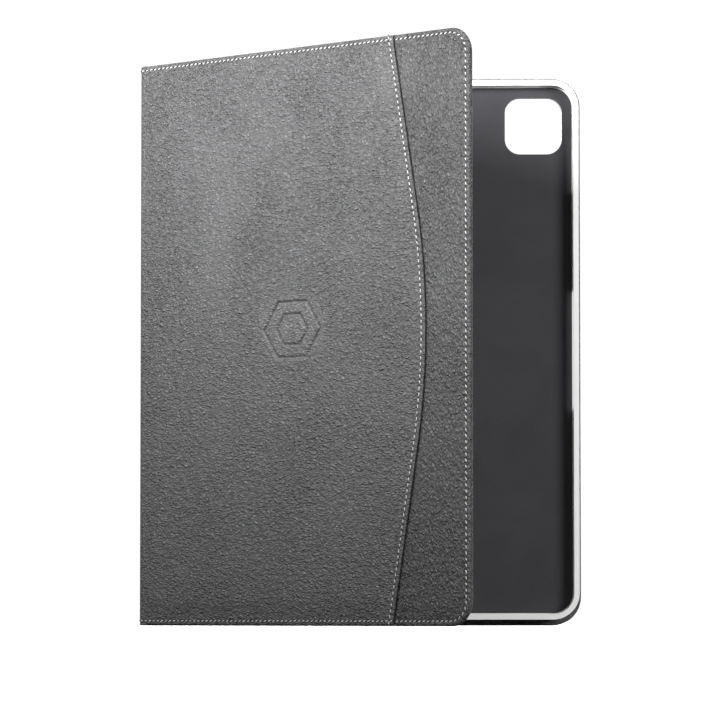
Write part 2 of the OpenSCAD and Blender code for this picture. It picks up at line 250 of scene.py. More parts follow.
def suedeMaterial(name, color, napSize):
    material, tree, shader = newMaterial(name)
    place = objectCoordinates(tree)
    nap = addNode(tree, "ShaderNodeTexNoise", {"Scale": 1 / napSize, "Detail": 4.0})
    tree.links.new(place, nap.inputs["Vector"])
    brushed = addNode(tree, "ShaderNodeTexNoise", {"Scale": 28.0, "Detail": 4.0, "Distortion": 0.6})
    tree.links.new(place, brushed.inputs["Vector"])
    both = addNode(tree, "ShaderNodeMix", {"Factor": 0.5}, data_type="RGBA")
    fine = ramp(tree, nap.outputs["Fac"], 0.3, 0.7, [0.7 * c for c in color], [1.3 * c for c in color])
    wide = ramp(tree, brushed.outputs["Fac"], 0.35, 0.65, [0.8 * c for c in color], [1.25 * c for c in color])
    tree.links.new(fine, both.inputs["A"])
    tree.links.new(wide, both.inputs["B"])
    tree.links.new(both.outputs["Result"], shader.inputs["Base Color"])
    tree.links.new(bumpOn(tree, nap.outputs["Fac"], 0.5, 0.12 * mm), shader.inputs["Normal"])
    shader.inputs["Roughness"].default_value = 0.95
    shader.inputs["Sheen Weight"].default_value = 0.35
    shader.inputs["Sheen Roughness"].default_value = 0.4
    return material


def plasticMaterial(name, color, roughness, texture, coat):
    material, tree, shader = newMaterial(name)
    place = objectCoordinates(tree)
    skin = addNode(tree, "ShaderNodeTexNoise", {"Scale": 1 / texture, "Detail": 2.0})
    tree.links.new(place, skin.inputs["Vector"])
    cloud = addNode(tree, "ShaderNodeTexNoise", {"Scale": 22.0, "Detail": 2.0})
    tree.links.new(place, cloud.inputs["Vector"])
    tone = ramp(tree, cloud.outputs["Fac"], 0.3, 0.7, [0.96 * c for c in color], color)
    tree.links.new(tone, shader.inputs["Base Color"])
    rough = addNode(tree, "ShaderNodeMapRange", {"To Min": roughness * 0.85, "To Max": roughness * 1.15})
    tree.links.new(cloud.outputs["Fac"], rough.inputs["Value"])
    tree.links.new(rough.outputs["Result"], shader.inputs["Roughness"])
    tree.links.new(bumpOn(tree, skin.outputs["Fac"], 0.25, 0.02 * mm), shader.inputs["Normal"])
    shader.inputs["Coat Weight"].default_value = coat
    shader.inputs["Coat Roughness"].default_value = 0.08
    return material


def threadMaterial(name, color):
    material, tree, shader = newMaterial(name)
    ply = addNode(tree, "ShaderNodeTexWave", {"Scale": 1100.0, "Distortion": 1.5}, bands_direction="DIAGONAL")
    tree.links.new(objectCoordinates(tree), ply.inputs["Vector"])
    # painted shade: the thread is darker in the low bands of its ply relief, between the plies
    tone = ramp(tree, ply.outputs["Fac"], 0.0, 1.0, [0.72 * c for c in color], color)
    tree.links.new(tone, shader.inputs["Base Color"])
    tree.links.new(bumpOn(tree, ply.outputs["Fac"], 0.5, 0.08 * mm), shader.inputs["Normal"])
    shader.inputs["Roughness"].default_value = 0.6
    return material


def boardMaterial(name, color):
    material, tree, shader = newMaterial(name)
    fibres = addNode(tree, "ShaderNodeTexNoise", {"Scale": 900.0, "Detail": 5.0})
    tree.links.new(objectCoordinates(tree, (1, 1, 0.25)), fibres.inputs["Vector"])
    tone = ramp(tree, fibres.outputs["Fac"], 0.3, 0.7, [0.75 * c for c in color], color)
    tree.links.new(tone, shader.inputs["Base Color"])
    tree.links.new(bumpOn(tree, fibres.outputs["Fac"], 0.4, 0.1 * mm), shader.inputs["Normal"])
    shader.inputs["Roughness"].default_value = 0.9
    return material


def steelMaterial(name):
    material, tree, shader = newMaterial(name)
    lines = addNode(tree, "ShaderNodeTexNoise", {"Scale": 1500.0, "Detail": 2.0})
    tree.links.new(objectCoordinates(tree, (1, 1, 0.03)), lines.inputs["Vector"])
    rough = addNode(tree, "ShaderNodeMapRange", {"To Min": 0.25, "To Max": 0.5})
    tree.links.new(lines.outputs["Fac"], rough.inputs["Value"])
    tree.links.new(rough.outputs["Result"], shader.inputs["Roughness"])
    shader.inputs["Base Color"].default_value = (0.6, 0.6, 0.62, 1)
    shader.inputs["Metallic"].default_value = 1.0
    return material


coverTurn = (0, 0, restOpen)  # sets the pattern square to the open cover
leather = leatherMaterial("charcoalLeather", (0.1, 0.1, 0.103), (0.48, 1, 1.3), coverTurn, 0.47)
stripLeather = leatherMaterial("charcoalLeatherStrip", (0.07, 0.07, 0.072), (1.2, 1, 0.8), coverTurn, 0.46)
backSkin = leatherMaterial("charcoalLeatherBack", (0.1, 0.1, 0.103), (0.6, 1, 1.15), (0, 0, 0), 0.47, 0.7)
cutEdge = leatherMaterial("cutLeatherEdge", (0.03, 0.03, 0.03), (1, 1, 1), (0, 0, 0), 0.75, 0.4)
lining = suedeMaterial("charcoalSuede", (0.075, 0.075, 0.08), 0.5 * mm)
bayCloth = suedeMaterial("bayMicrofibre", (0.03, 0.03, 0.034), 0.35 * mm)
whiteGloss = plasticMaterial("pearlBumper", (0.8, 0.8, 0.79), 0.22, 0.6 * mm, 0.6)
whiteMatte = plasticMaterial("pearlShell", (0.72, 0.72, 0.71), 0.5, 0.4 * mm, 0.0)
blackGloss = plasticMaterial("blackRing", (0.02, 0.02, 0.02), 0.25, 0.5 * mm, 0.3)
thread = threadMaterial("paleThread", (0.46, 0.46, 0.45))
# near-black material for the needle holes: painted shade in the holes
paintedHoleShade = plasticMaterial("paintedHoleShade", (0.006, 0.006, 0.006), 0.9, 0.5 * mm, 0.0)
fibreboard = boardMaterial("fibreboard", (0.055, 0.052, 0.05))
foamGrey = boardMaterial("foamPadding", (0.2, 0.2, 0.2))
adhesive = boardMaterial("adhesiveFoam", (0.24, 0.24, 0.24))
steel = steelMaterial("magnetSteel")
print("materials made")


def ticks(length, coarse, zones=()):
    # places from 0 to length, closer together inside the zones, which are (low, high, spacing)
    places = [0.0]
    while places[-1] < length - 0.3 * coarse:
        at = places[-1]
        spacing = min([coarse] + [fine for low, high, fine in zones if low <= at < high])
        places.append(at + spacing)
    stretch = length / places[-1]
    return [place * stretch for place in places]


turnSteps = 8
turnSquareness = 2.5  # 2 is a half circle, and more is squarer


def turnProfile():
    # how far out and how far in each step of a turned edge goes, in shares of its radius
    steps = []
    for i in range(1, turnSteps + 1):
        angle = math.pi * i / turnSteps
        out = abs(math.sin(angle)) ** (2 / turnSquareness)
        back = math.copysign(abs(math.cos(angle)) ** (2 / turnSquareness), math.cos(angle))
        steps.append((out, 1 - back))
    return steps


def turnedSheet(name, rows, chains, flap):
    # a place in a row is (point, way in, thickness) or also how far the grain is pressed flat there;
    # a chain lists edge places as (row, column, way out), anticlockwise
    width = len(rows[0])
    points = [item[0] for row in rows for item in row]
    pressed = [item[3] if len(item) > 3 else 0.0 for row in rows for item in row]
    faces = []
    for r in range(len(rows) - 1):
        for c in range(width - 1):
            first = r * width + c
            faces.append((first, first + 1, first + width + 1, first + width))
    for chain in chains:
        last = [r * width + c for r, c, out in chain]
        loops = [(out, back, 0.0) for out, back in turnProfile()]
        if flap:
            loops.append((0.0, 2.0, flap))
        for out, back, inset in loops:
            ring = []
            for r, c, way in chain:
                point, inward, thick = rows[r][c][:3]
                radius = thick / 2
                place = point + way * (out * radius - inset) + inward * (back * radius)
                ring.append(len(points))
                points.append(place)
            for i in range(len(chain) - 1):
                faces.append((last[i], ring[i], ring[i + 1], last[i + 1]))
            last = ring
    mesh = bpy.data.meshes.new(name)
    mesh.from_pydata([tuple(p) for p in points], [], faces)
    mesh.update()
    layer = mesh.attributes.new("pressed", "FLOAT", "POINT")
    layer.data.foreach_set("value", pressed + [0.0] * (len(points) - len(pressed)))
    middle = rows[len(rows) // 2][width // 2][:2]
    lookup = min(mesh.polygons, key=lambda face: (face.center - middle[0]).length)
    if lookup.normal.dot(middle[1]) > 0:
        mesh.flip_normals()
    for polygon in mesh.polygons:
        polygon.use_smooth = True
    piece = addObject(name, mesh)
    return piece


def giveThickness(piece, thickness, skin, edge=None):
    piece.data.materials.append(skin)
    if edge is not None:
        piece.data.materials.append(edge)
    solid = piece.modifiers.new("thickness", "SOLIDIFY")
    solid.thickness = thickness
    solid.offset = -1
    if edge is not None:
        solid.material_offset_rim = 1
    applyModifiers(piece)


def applyModifiers(piece):
    # turns the piece into the plain mesh that its modifiers give
    seen = piece.evaluated_get(bpy.context.evaluated_depsgraph_get())
    mesh = bpy.data.meshes.new_from_object(seen)
    mesh.name = piece.name
    piece.modifiers.clear()
    piece.data = mesh


seam = {
    "radius": 0.320,  # of the round middle
    "lean": math.radians(10.8),  # of the straight ends
    "under": 4 * mm,  # how far the strip runs on under the main leather
    "stitchIn": 2.6 * mm,
}


def seamU(z, shift=0.0):
    # where the main leather's cut edge lies at height z, moved towards the fold by shift
    radius = seam["radius"] - shift
    middle = leatherHigh.x - shift - radius
    away = abs(z - coverH / 2)
    turn = radius * math.sin(seam["lean"])
    if away <= turn:
        return middle + math.sqrt(radius * radius - away * away)
    return middle + radius * math.cos(seam["lean"]) - (away - turn) * math.tan(seam["lean"])


panel = {
    "grid": 2.3 * mm,  # spacing of the main leather's mesh
    "thickness": 1.15 * mm,  # of the main leather
    "stripThickness": 1.0 * mm,
    "cornerRadius": 12.5 * mm,
    "stitchIn": 2.4 * mm,
    "grooveDepth": 0.22 * mm,
    "grooveWidth": 0.7 * mm,
    "crown": 0.75 * mm,  # how far the padding lifts the main leather
    "crownRise": 11 * mm,  # over this distance from the stitching
    "stripCrown": 0.4 * mm,
    "waveDepth": 0.09 * mm,  # slow unevenness of the padding
    "waveSize": 34 * mm,
    "rippleDepth": 0.035 * mm,  # soft ripples in the grain
    "rippleSize": 5 * mm,
}

emblem = {
    "u": 112.3 * mm,
    "z": 150 * mm,
    "halfWidth": 20 * mm,
    "halfHeight": 14 * mm,
    "inner": 0.55,  # size of the inner ring, in shares of the outer one
    "line": 0.6 * mm,  # half the width of the pressed line
    "depth": 0.8 * mm,
    "grid": 0.42 * mm,
}


def edgeDistance(u, z, radius, width, height):
    right = width - u
    end = min(z, height - z)
    if right < radius and end < radius:
        return radius - math.hypot(radius - right, radius - end)
    return min(right, end)


def groove(distance):
    return -panel["grooveDepth"] * math.exp(-(distance / panel["grooveWidth"]) ** 2)


def unevenness(u, z, seed):
    slow = noise.noise(Vector((u / panel["waveSize"], z / panel["waveSize"], seed)))
    fine = noise.noise(Vector((u / panel["rippleSize"], z / panel["rippleSize"], seed + 9)))
    return panel["waveDepth"] * slow + panel["rippleDepth"] * fine


def emblemLine(u, z):
    # 1 in the middle of the pressed line and 0 away from it; the line draws two plain six-sided rings
    x = abs(u - emblem["u"]) / emblem["halfWidth"]
    y = abs(z - emblem["z"]) / emblem["halfHeight"]
    ring = max(y, x + 0.5 * y)
    away = min(abs(ring - 1.0), abs(ring - emblem["inner"])) * emblem["halfHeight"]
    return math.exp(-((away / emblem["line"]) ** 2))


def flattened(u, z):
    # the hot stamp leaves the grain smoother on and near the emblem
    x = (u - emblem["u"]) / emblem["halfWidth"]
    y = (z - emblem["z"]) / emblem["halfHeight"]
    return max(emblemLine(u, z), 0.55 * ease((1.5 - math.hypot(x, y)) / 0.5))


def mainRelief(u, z):
    # how far the main leather stands out from its flat face
    fromSeam = seamU(z) - u
    fromEnd = min(z, coverH - z)
    rise = panel["crownRise"]
    inside = ease((fromEnd - panel["stitchIn"]) / rise)
    inside *= ease((fromSeam - seam["stitchIn"]) / rise)
    inside *= ease((u - 2 * mm) / rise)
    lift = panel["crown"] * inside + unevenness(u, z, 1.0) * inside
    lift += groove(fromEnd - panel["stitchIn"]) * ease(u / (4 * mm))
    lift += groove(fromSeam - seam["stitchIn"])
    return lift - emblem["depth"] * emblemLine(u, z) * inside


def stripRelief(u, z):
    edge = edgeDistance(u, z, panel["cornerRadius"], coverW, coverH)
    inside = ease((edge - panel["stitchIn"]) / (0.7 * panel["crownRise"]))
    inside *= ease((u - seamU(z)) / (6 * mm))
    return (panel["stripCrown"] + unevenness(u, z, 5.0)) * inside + groove(edge - panel["stitchIn"])


def coverPoint(u, depth, z):
    return coverPlace @ Vector((u, depth, z))


coverIn = (coverPlace.to_3x3() @ Vector((0, 1, 0))).normalized()
coverRight = (coverPlace.to_3x3() @ Vector((1, 0, 0))).normalized()
up = Vector((0, 0, 1))

fold = {
    "reach": 2.6 * mm,  # where a fold's bend begins on each side of its axis
    "thickness": 1.6 * mm,  # of the turned edge at the bend
    "steps": 7,
    "spineSteps": 8,  # from the spine's middle to the bend
}
coverEdgeT = stripHigh.y - leatherLow.y
stripEdgeT = stripHigh.y - stripLow.y
spineEdgeT = spineHigh.x - spineLow.x
backEdgeT = backHigh.y - backLow.y


def bendPoints(start, corner, end):
    # a smooth bend from start to end that is pulled towards the corner
    points = []
    for i in range(1, fold["steps"]):
        t = i / fold["steps"]
        points.append(start * (1 - t) ** 2 + corner * 2 * t * (1 - t) + end * t * t)
    return points


def lineCrossing(p, a, q, b):
    # where the line through p along a meets the line through q along b, seen from above
    cross = a.x * b.y - a.y * b.x
    gap = q - p
    t = (gap.x * b.y - gap.y * b.x) / cross
    return p + a * t


def liftedRows(columns, height, inset, zones, lead=10 * mm):
    # columns are functions of z that give a place of a row, as turnedSheet takes it;
    # near each end the rows move so that a column ends half its own thickness from the edge
    rows = []
    for d in ticks(height - 2 * inset, panel["grid"], zones):
        row = []
        for column in columns:
            thick = column(height / 2)[2]
            nearFoot = 1 - min(d / lead, 1)
            nearTop = 1 - min((height - 2 * inset - d) / lead, 1)
            z = d + inset + (thick / 2 - inset) * (nearFoot - nearTop)
            row.append(column(z))
        rows.append(row)
    return rows


def makeCoverLeather():
    columns = []
    reach = fold["reach"]
    length = leatherHigh.x - reach
    halfMark = emblem["halfWidth"] + 3 * mm
    zones = [
        (0, 6 * mm, 0.75 * mm),
        (emblem["u"] - halfMark - reach, emblem["u"] + halfMark - reach, emblem["grid"]),
        (length - 5 * mm, length, 0.6 * mm),
    ]

    def coverColumn(share):
        def place(z):
            u = mix(reach, seamU(z), share)
            thick = mix(fold["thickness"], coverEdgeT, ease((u - reach) / (3 * mm)))
            return coverPoint(u, leatherLow.y - mainRelief(u, z), z), coverIn, thick, flattened(u, z)
        return place

    def still(point, inward, thick):
        return lambda z: (Vector((point.x, point.y, z)), inward, thick)

    spineIn = Vector((1, 0, 0))
    spineEnd = frontFold + Vector((spineLow.x, reach, 0))
    coverStart = coverPoint(reach, leatherLow.y, 0)
    corner = lineCrossing(coverStart, coverRight, spineEnd, Vector((0, 1, 0)))
    half = frontFold.y + spineW / 2
    for i in range(fold["spineSteps"]):
        y = mix(half, spineEnd.y, i / fold["spineSteps"])
        thick = mix(fold["thickness"], spineEdgeT, ease((y - spineEnd.y) / (2 * mm)))
        columns.append(still(Vector((spineEnd.x, y, 0)), spineIn, thick))
    columns.append(still(spineEnd, spineIn, fold["thickness"]))
    bend = bendPoints(spineEnd, corner, coverStart)
    for i, point in enumerate(bend):
        inward = spineIn.lerp(coverIn, (i + 1) / len(bend)).normalized()
        columns.append(still(point, inward, fold["thickness"]))
    for d in ticks(length, panel["grid"], zones):
        columns.append(coverColumn(d / length))
    inset = coverEdgeT / 2
    halfHigh = emblem["halfHeight"] + 3 * mm
    high = coverH - 2 * inset
    zones = [
        (0, 4 * mm, 0.6 * mm),
        (emblem["z"] - halfHigh - inset, emblem["z"] + halfHigh - inset, emblem["grid"]),
        (high - 4 * mm, high, 0.6 * mm),
    ]
    rows = liftedRows(columns, coverH, inset, zones)
    last = len(rows) - 1
    width = range(len(columns))
    chains = [[(0, c, -up) for c in width], [(last, c, up) for c in reversed(width)]]
    piece = turnedSheet("coverLeather", rows, chains, 4 * mm)
    giveThickness(piece, panel["thickness"], leather, cutEdge)
    start = coverPoint(reach, leatherLow.y, coverH / 2)
    end = spineEnd + Vector((0, 0, coverH / 2))
    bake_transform(piece, "cover", "spine", start=start, end=end)
    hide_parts("cover_leather", "front_fold")
    return piece


coverLeather = makeCoverLeather()
print("cover leather", len(coverLeather.data.polygons), "faces")


def cornerRows(width, height, inset, radius, coarse):
    # heights of the rows, where each ends on the right, and the way out there, with round free corners
    inner = radius - inset
    rows = []
    steps = 12

    def addCorner(middle, first):
        for i in range(steps + 1):
            angle = math.radians(first + 90 * i / steps)
            right = width - inset - inner + inner * math.cos(angle)
            way = Vector((math.cos(angle), 0, math.sin(angle)))
            rows.append((middle + inner * math.sin(angle), right, way))

    addCorner(inset + inner, -90)
    straight = height - 2 * (inset + inner)
    for d in ticks(straight, coarse)[1:-1]:
        rows.append((inset + inner + d, width - inset, Vector((1, 0, 0))))
    addCorner(height - inset - inner, 0)
    return rows


def roundChain(rows, last, ways, place):
    # the edge along the bottom, up the free side and back along the top
    turn = place.to_3x3()
    chain = [(0, c, -up) for c in range(last)]
    chain += [(r, last, (turn @ ways[r]).normalized()) for r in range(len(rows))]
    chain += [(len(rows) - 1, c, up) for c in reversed(range(last))]
    return chain


def makeEdgeStrip():
    inset = stripEdgeT / 2
    outline = cornerRows(coverW, coverH, inset, panel["cornerRadius"], 1.1 * mm)
    shares = ticks(1.0, 0.03, [(0.0, 0.1, 0.012), (0.86, 1.0, 0.012)])
    rows = []
    for z, right, way in outline:
        left = seamU(z) - seam["under"]
        row = []
        for share in shares:
            u = mix(left, right, share)
            depth = stripLow.y - stripRelief(u, z)
            row.append((coverPoint(u, depth, z), coverIn, stripEdgeT))
        rows.append(row)
    ways = [way for z, right, way in outline]
    chains = [roundChain(rows, len(shares) - 1, ways, coverPlace)]
    piece = turnedSheet("coverEdgeStrip", rows, chains, 3 * mm)
    giveThickness(piece, panel["stripThickness"], stripLeather)
    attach(piece, "cover")
    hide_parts("cover_edge_strip")
    return piece


edgeStrip = makeEdgeStrip()
print("edge strip", len(edgeStrip.data.polygons), "faces")


back = {
    "cornerRadius": 15 * mm,
    "slopeEnd": 60 * mm,  # the top edge has come down from the spine's height here
    "topHeight": 288.7 * mm,
    "crown": 0.35 * mm,
    "thickness": 1.1 * mm,
    "openingRadius": 9.2 * mm,  # round the camera's ring
    "openingPlay": 0.05 * mm,
}
ringLow, ringHigh = localBox("camera_ring", trayPlace)
cameraMiddle = (ringLow + ringHigh) / 2
cameraHalf = (ringHigh.x - ringLow.x) / 2


def backRelief(x, z):
    edge = edgeDistance(x, z, back["cornerRadius"], backHigh.x, back["topHeight"])
    camera = max(abs(x - cameraMiddle.x), abs(z - cameraMiddle.z)) - cameraHalf
    inside = ease((edge - panel["stitchIn"]) / panel["crownRise"]) * ease((x - 3 * mm) / panel["crownRise"])
    inside *= ease((camera - 1 * mm) / (5 * mm))
    return (back["crown"] + unevenness(x, z, 12.0)) * inside + groove(edge - panel["stitchIn"])


def backTop(x):
    return mix(coverH, back["topHeight"], min(max(x / back["slopeEnd"], 0.0), 1.0))


def makeBackLeather():
    reach = fold["reach"]
    spineIn = Vector((1, 0, 0))
    trayIn = Vector((0, -1, 0))
    inset = backEdgeT / 2
    outline = cornerRows(backHigh.x, back["topHeight"], inset, back["cornerRadius"], 2.2 * mm)
    start = rearFold + Vector((spineLow.x, -reach, 0))
    end = rearFold + Vector((reach, backHigh.y, 0))
    corner = Vector((start.x, end.y, 0))
    half = rearFold.y - spineW / 2
    fixed = []
    for i in range(fold["spineSteps"]):
        y = mix(half, start.y, i / fold["spineSteps"])
        thick = mix(fold["thickness"], spineEdgeT, ease((start.y - y) / (2 * mm)))
        fixed.append((Vector((start.x, y, 0)), spineIn, thick))
    fixed.append((start, spineIn, fold["thickness"]))
    bend = bendPoints(start, corner, end)
    for i, point in enumerate(bend):
        inward = spineIn.lerp(trayIn, (i + 1) / len(bend)).normalized()
        fixed.append((point, inward, fold["thickness"]))
    shares = ticks(1.0, 0.009, [(0.0, 0.05, 0.004), (0.97, 1.0, 0.003)])
    rows = []
    for z, right, way in outline:
        fromTop = max(0.0, 1 - (back["topHeight"] - inset - z) / (60 * mm))
        fromEnd = max(0.0, 1 - (z - inset) / (10 * mm))
        row = []
        for point, inward, thick in fixed:
            local = z + (coverH - back["topHeight"]) * fromTop + (inset - thick / 2) * (fromTop - fromEnd)
            row.append((Vector((point.x, point.y, local)), inward, thick))
        for share in shares:
            x = mix(reach, right, share)
            local = z + (backTop(x) - back["topHeight"]) * fromTop
            thick = mix(fold["thickness"], backEdgeT, ease((x - reach) / (4 * mm)))
            local += (inset - thick / 2) * (fromTop - fromEnd)
            place = rearFold + Vector((x, backHigh.y + backRelief(x, z), local))
            row.append((place, trayIn, thick))
        rows.append(row)
    ways = [way for z, right, way in outline]
    chains = [roundChain(rows, len(rows[0]) - 1, ways, trayPlace)]
    piece = turnedSheet("backLeather", rows, chains, 3 * mm)
    giveThickness(piece, back["thickness"], backSkin)
    cutOpening(piece, backSkin)
    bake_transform(piece, "spine", "tray", start=start + up * (coverH / 2), end=end + up * (coverH / 2))
    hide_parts("back_leather", "rear_fold", "spine_leather")
    return piece


def roundedOutline(low, high, radius, steps=8):
    # points of a rounded rectangle in x and z, anticlockwise from the lower right
    points = []
    corners = [
        (high.x - radius, low.z + radius, -90),
        (high.x - radius, high.z - radius, 0),
        (low.x + radius, high.z - radius, 90),
        (low.x + radius, low.z + radius, 180),
    ]
    for x, z, first in corners:
        for i in range(steps + 1):
            angle = math.radians(first + 90 * i / steps)
            points.append((x + radius * math.cos(angle), z + radius * math.sin(angle)))
    return points


def prism(name, outline, y0, y1):
    mesh = bpy.data.meshes.new(name)
    count = len(outline)
    points = [(x, y0, z) for x, z in outline] + [(x, y1, z) for x, z in outline]
    faces = [tuple(range(count)), tuple(reversed(range(count, 2 * count)))]
    for i in range(count):
        j = (i + 1) % count
        faces.append((i, i + count, j + count, j))
    mesh.from_pydata(points, [], faces)
    piece = addObject(name, mesh)
    recalculate(piece)
    return piece


def recalculate(piece):
    work = bmesh.new()
    work.from_mesh(piece.data)
    bmesh.ops.recalc_face_normals(work, faces=work.faces)
    work.to_mesh(piece.data)
    work.free()


def cutOpening(piece, skin):
    play = Vector((back["openingPlay"], 0, back["openingPlay"]))
    outline = roundedOutline(ringLow - play, ringHigh + play, back["openingRadius"])
    cutter = prism("openingCutter", outline, ringLow.y - 2 * mm, ringHigh.y + 3 * mm)
    cutter.data.transform(trayPlace)
    cutter.data.materials.append(skin)
    cut = piece.modifiers.new("opening", "BOOLEAN")
    cut.operation = "DIFFERENCE"
    cut.solver = "EXACT"
    cut.object = cutter
    applyModifiers(piece)
    bpy.data.objects.remove(cutter)


backLeather = makeBackLeather()
print("back leather", len(backLeather.data.polygons), "faces")


liningSheet = {
    "thickness": 0.5 * mm,
    "spineThickness": 0.4 * mm,  # on the spine and beside the frame
    "valleyThickness": 0.3 * mm,  # at the bottom of a fold
    "cornerIn": 0.3 * mm,  # the lining's rolled edge
    "valley": 0.75 * mm,  # how far a fold's lining lies from the axis
    "boardEnd": 2.7 * mm,  # the lining turns down to the fold here
    "closingGap": 0.7 * mm,  # the cover's lining ends earlier, clear of the spine's when the case closes
    "valleyLap": 0.5 * mm,  # how far a fold's lining runs on under the first panel's
    "valleyFloor": 0.62,  # where its floor begins, in shares of boardEnd
    "valleyIn": 1.2 * mm,  # its ends lie this far inside the edges
}
liningFoot = halfLeather + 0.5 * mm  # a turned-down lining ends at this depth


def makeCoverLining():
    inset = liningLow.z + liningSheet["cornerIn"]
    radius = panel["cornerRadius"]
    outline = cornerRows(coverW, coverH, inset, radius, 2.6 * mm)
    boardEnd = liningSheet["boardEnd"] + liningSheet["closingGap"]
    face = liningHigh.y
    shares = ticks(1.0, 0.012, [(0.0, 0.02, 0.005), (0.97, 1.0, 0.003)])
    down = [(boardEnd, liningFoot), (boardEnd, mix(halfLeather, face, 0.5)),
            (boardEnd, face - 0.5 * mm), (boardEnd + 0.12 * mm, face - 0.15 * mm)]
    rows = []
    for z, right, way in outline:
        row = []
        for u, depth in down:
            row.append((coverPoint(u, depth, z), -coverRight, 0.3 * mm))
        for share in shares:
            u = mix(boardEnd + 0.5 * mm, right, share)
            edge = edgeDistance(u, z, radius, coverW, coverH)
            depth = face + groove(edge - panel["stitchIn"])
            row.append((coverPoint(u, depth, z), -coverIn, 2 * liningSheet["cornerIn"]))
        rows.append(row)
    ways = [way for z, right, way in outline]
    chains = [roundChain(rows, len(rows[0]) - 1, ways, coverPlace)]
    piece = turnedSheet("coverLining", rows, chains, 0)
    giveThickness(piece, liningSheet["thickness"], lining)
    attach(piece, "cover")
    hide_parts("cover_lining")
    return piece


def upright(name, path, body, bottom, top, thickness, replaced=()):
    # a strip of lining that follows path, seen from above, from bottom to top
    rows = []
    for z in ticks(top - bottom, 4 * mm):
        rows.append([(Vector((p.x, p.y, bottom + z)), inward, thickness) for p, inward in path])
    piece = turnedSheet(name, rows, [], 0)
    giveThickness(piece, thickness, lining)
    if body:
        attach(piece, body)
    if replaced:
        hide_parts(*replaced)
    return piece


def makeSpineLining():
    face = spineLiningHigh.x
    end = liningSheet["boardEnd"]
    inward = Vector((-1, 0, 0))
    path = []
    for x in (liningFoot, mix(liningFoot, face, 0.6), face - 0.3 * mm):
        path.append((frontFold + Vector((x, end, 0)), Vector((0, 1, 0))))
    for i in range(9):
        y = mix(end + 0.3 * mm, spineW - end - 0.3 * mm, i / 8)
        path.append((frontFold + Vector((face, y, 0)), inward))
    for x in (face - 0.3 * mm, mix(liningFoot, face, 0.6), liningFoot):
        path.append((frontFold + Vector((x, spineW - end, 0)), Vector((0, -1, 0))))
    low = spineLiningLow.z
    return upright("spineLining", path, "spine", low, coverH - low, liningSheet["spineThickness"],
                   ["spine_lining"])


def makeGutterLining():
    face = gutterLow.y
    end = liningSheet["boardEnd"]
    path = []
    for y in (-liningFoot, mix(-liningFoot, face, 0.6), face + 0.3 * mm):
        path.append((rearFold + Vector((end, y, 0)), Vector((1, 0, 0))))
    for i in range(6):
        x = mix(end + 0.3 * mm, gutterHigh.x, i / 5)
        path.append((rearFold + Vector((x, face, 0)), Vector((0, 1, 0))))
    low = gutterLow.z
    return upright("gutterLining", path, "tray", low, gutterHigh.z, liningSheet["spineThickness"],
                   ["gutter_lining"])


def makeValley(name, a, b, pivot, alongA, alongB, inA, inB):
    # the soft lining at the bottom of a fold, from one board's end to the other
    near = liningSheet["valley"]
    end = liningSheet["boardEnd"]
    floor = liningSheet["valleyFloor"] * end
    startFar = pivot + alongA * (end + liningSheet["valleyLap"]) + inA * liningFoot
    startNear = pivot + alongA * floor + inA * near
    endNear = pivot + alongB * floor + inB * near
    endFar = pivot + alongB * end + inB * liningFoot
    middle = lineCrossing(startNear, alongA, endNear, alongB)
    path = [startFar, startNear] + bendPoints(startNear, middle, endNear) + [endNear, endFar]
    inward = -(inA + inB).normalized()
    low = liningSheet["valleyIn"]
    route = [(p, inward) for p in path]
    piece = upright(name, route, None, low, coverH - low, liningSheet["valleyThickness"])
    middleUp = up * (coverH / 2)
    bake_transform(piece, a, b, start=startNear + middleUp, end=endNear + middleUp)
    return piece


makeCoverLining()
makeSpineLining()
makeGutterLining()
makeValley("frontFoldLining", "cover", "spine", frontFold,
           coverRight, Vector((0, 1, 0)), coverIn, Vector((1, 0, 0)))
makeValley("rearFoldLining", "spine", "tray", rearFold,
           Vector((0, -1, 0)), Vector((1, 0, 0)), Vector((1, 0, 0)), Vector((0, -1, 0)))
print("linings made")


pocket = {
    "puff": 0.35 * mm,  # how far the panel stands off in its middle
    "notchRadius": 14 * mm,
    "thickness": 0.45 * mm,
    "border": 5 * mm,
    "mouthBow": 0.25 * mm,
}


def makePocket():
    low, high = pocketLow, pocketHigh
    middle = (low.x + high.x) / 2
    face = high.y
    rows = []
    shares = ticks(1.0, 0.014)
    for level in ticks(1.0, 0.014, [(0.9, 1.0, 0.007)]):
        row = []
        for share in shares:
            u = mix(low.x + 0.2 * mm, high.x - 0.2 * mm, share)
            top = high.z
            if abs(u - middle) < pocket["notchRadius"]:
                top -= math.sqrt(pocket["notchRadius"] ** 2 - (u - middle) ** 2)
            z = mix(low.z + 0.2 * mm, top, level)
            side = min(u - low.x, high.x - u, z - low.z)
            inside = ease((side - pocket["border"] / 2) / (25 * mm))
            bow = pocket["mouthBow"] * ease((level - 0.8) / 0.2) * inside
            depth = face - 0.1 * mm + pocket["puff"] * inside + bow
            depth += 0.5 * groove(side - pocket["border"] / 2)
            row.append((coverPoint(u, depth, z), -coverIn, pocket["thickness"]))
        rows.append(row)
    piece = turnedSheet("documentPocket", rows, [], 0)
    giveThickness(piece, pocket["thickness"], leather, cutEdge)
    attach(piece, "cover")
    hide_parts("document_pocket")
    return piece


makePocket()
print("pocket made")


stitch = {
    "pitch": 3.0 * mm,
    "length": 1.95 * mm,
    "thickness": 0.62 * mm,
    "lean": math.radians(24),
    "seamLean": math.radians(6),
    "jitter": math.radians(4),
    "proud": 0.12 * mm,  # how far a stitch's middle line lies above the leather
    "hole": 0.95 * mm,
    "seed": 7,
    "besideSeam": 1.5 * mm,  # rows stop this far from the seam and from the seam's own ends
    "coverStart": 1.4 * mm,  # where the rows start beside a fold, from its axis
    "spineStart": 1.6 * mm,
    "spineEnd": 2.6 * mm,
    "backStart": 2.2 * mm,
    "liningStart": 5 * mm,
    "pocketMouth": 3 * mm,  # the pocket's row stops this far under its mouth
}


